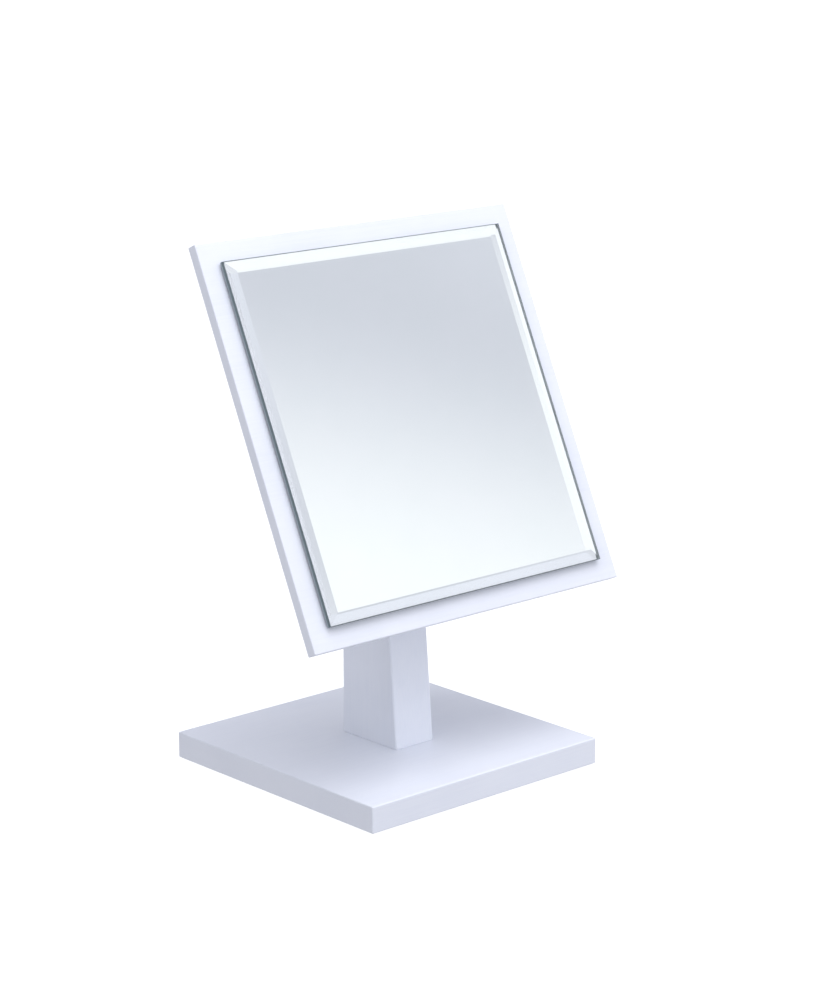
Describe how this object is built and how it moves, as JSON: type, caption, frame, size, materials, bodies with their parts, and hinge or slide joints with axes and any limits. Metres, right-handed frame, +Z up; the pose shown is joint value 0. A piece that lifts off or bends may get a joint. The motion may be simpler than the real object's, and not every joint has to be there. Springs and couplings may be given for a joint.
{
  "type": "countertop mirror",
  "caption": "Square bevelled mirror on a tilting square board, held by a friction hinge on a tapered post with a square base, for a shop counter.",
  "frame": {"origin": "under the middle of the square base, at the level of the counter that the feet stand on", "axes": "+Z up; the mirror faces -Y and leans back towards +Y; +X to the right of a person who looks into it"},
  "size_m": [0.28, 0.21, 0.3829],
  "materials": {
    "painted_wood": "sprayed satin white paint with a slight cool cast, over fine wood grain",
    "bare_dowel": "bare beech",
    "mirror_glass": "clear polished float glass, green in the edge",
    "mirror_silver": "silver behind the glass, with grey protective paint at its back",
    "foam_tape": "white double-sided foam tape",
    "painted_steel": "fine-textured white powder coat",
    "zinc_steel": "bright zinc plate",
    "brass_sleeve": "turned, dull",
    "nylon": "natural nylon",
    "foot_rubber": "soft matt rubber"
  },
  "bodies": {
    "stand": {"base_plate": "painted_wood", "foot_pads": "foot_rubber", "post": "painted_wood", "post_dowels": "bare_dowel", "post_screws": "zinc_steel", "post_screw_washers": "zinc_steel", "pivot_sleeve": "brass_sleeve"},
    "head": {"pivot_bolt": "zinc_steel", "friction_washers": "nylon", "plain_washers": "zinc_steel", "disc_springs": "zinc_steel", "lock_nut": "zinc_steel", "nut_insert": "nylon", "tilt_bracket": "painted_steel", "bracket_screws": "zinc_steel", "back_cleat": "painted_wood", "mirror_board": "painted_wood", "adhesive_strips": "foam_tape", "mirror_silvering": "mirror_silver", "mirror_glass": "mirror_glass"}
  },
  "joints": [
    {"name": "head_tilt", "type": "hinge", "parent": "stand", "child": "head", "pos_m": [0, 0.00717, 0.2385], "axis": [-1, 0, 0], "range_deg": [-25, 71]}
  ]
}
